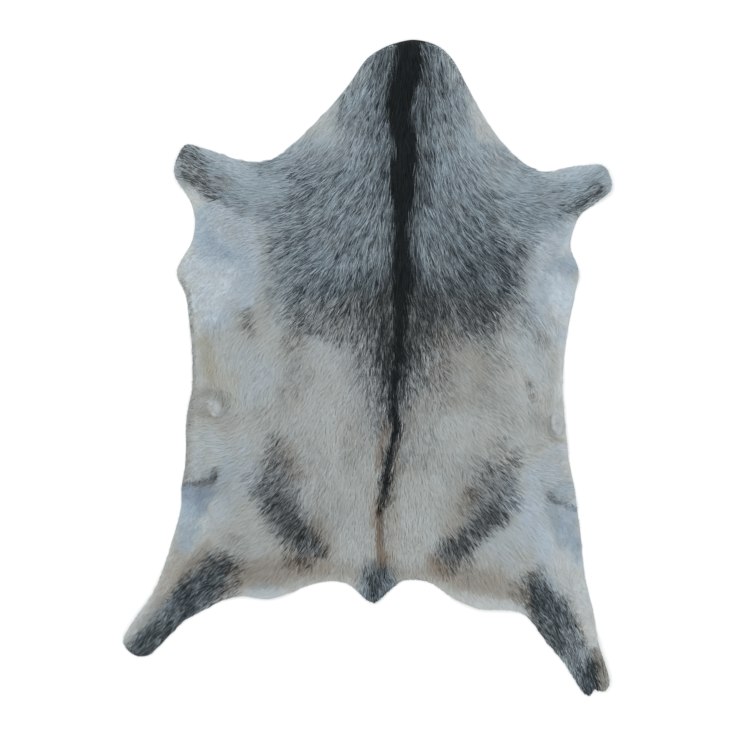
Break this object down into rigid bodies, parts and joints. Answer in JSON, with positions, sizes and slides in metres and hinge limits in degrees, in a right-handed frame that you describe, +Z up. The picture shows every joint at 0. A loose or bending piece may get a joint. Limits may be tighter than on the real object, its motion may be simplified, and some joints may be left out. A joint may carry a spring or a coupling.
{
  "type": "goatskin rug",
  "caption": "Whole dressed goat hide with the hair on, grey with a black dorsal stripe, lying flat hair side up as a small rug.",
  "frame": {"origin": "centre of the outline's box, on the plane that the hide lies on", "axes": "+Y from the tail to the neck, +Z up out of the hair side, +X to the right seen from above with the neck away"},
  "size_m": [0.707, 0.952, 0.0105],
  "materials": {
    "coat": "glossy short goat hair, grey grizzled with black, pale grey to the rear"
  },
  "bodies": {
    "root": {"hide": "coat"}
  },
  "joints": []
}
